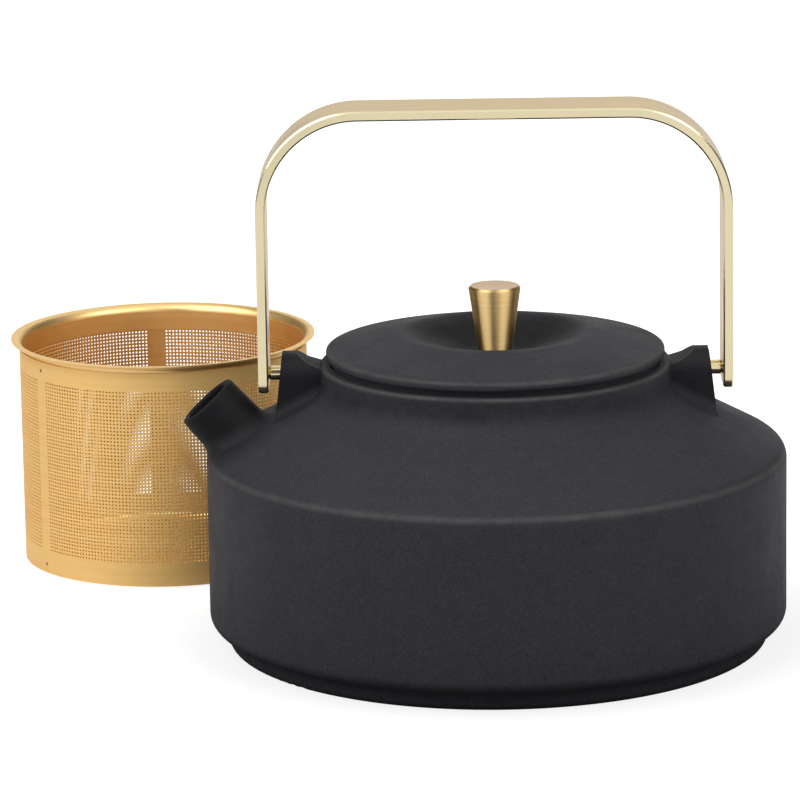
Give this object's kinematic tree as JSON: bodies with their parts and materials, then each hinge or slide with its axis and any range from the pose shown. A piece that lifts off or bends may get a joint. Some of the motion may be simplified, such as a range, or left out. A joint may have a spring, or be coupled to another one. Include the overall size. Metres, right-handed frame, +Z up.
{
  "type": "teapot",
  "caption": "Low cast-iron teapot with a short spout, dished lid with tapered brass knob, flat brass strap bail, and a perforated infuser standing beside it.",
  "frame": {"origin": "centre of the pot's flat foot, on the table", "axes": "+Z up along the pot's axis, the spout points to -X, the bail's pivots lie along X"},
  "size_m": [0.2357, 0.2337, 0.1595],
  "materials": {
    "black_iron": "matt black enamel on a fine sand-cast grain",
    "satin_brass": "brushed satin brass",
    "plain_steel": "plain bright steel",
    "gold_steel": "gold-coloured stainless sheet with fine round holes"
  },
  "bodies": {
    "pot": {"pot_base": "black_iron", "pot_wall": "black_iron", "pot_shoulder": "black_iron", "pot_spout": "black_iron"},
    "bail": {"handle_bail": "satin_brass", "pivot_pin_left": "satin_brass", "pivot_pin_right": "satin_brass"},
    "lid": {"lid": "black_iron", "lid_knob": "satin_brass", "knob_screw": "plain_steel", "knob_washer": "plain_steel"},
    "infuser": {"infuser_rim": "gold_steel", "infuser_wall": "gold_steel", "infuser_base": "gold_steel"}
  },
  "joints": [
    {"name": "bail_swing", "type": "hinge", "parent": "pot", "child": "bail", "pos_m": [0, 0, 0.0806], "axis": [1, 0, 0], "range_deg": [-90, 90]},
    {"name": "lid_lift", "type": "slide", "parent": "pot", "child": "lid", "axis": [0, 0, 1], "range_m": [0, 0.045]},
    {"name": "infuser_lift", "type": "slide", "parent": "pot", "child": "infuser", "axis": [0, 0, 1], "range_m": [0, 0.1]}
  ]
}
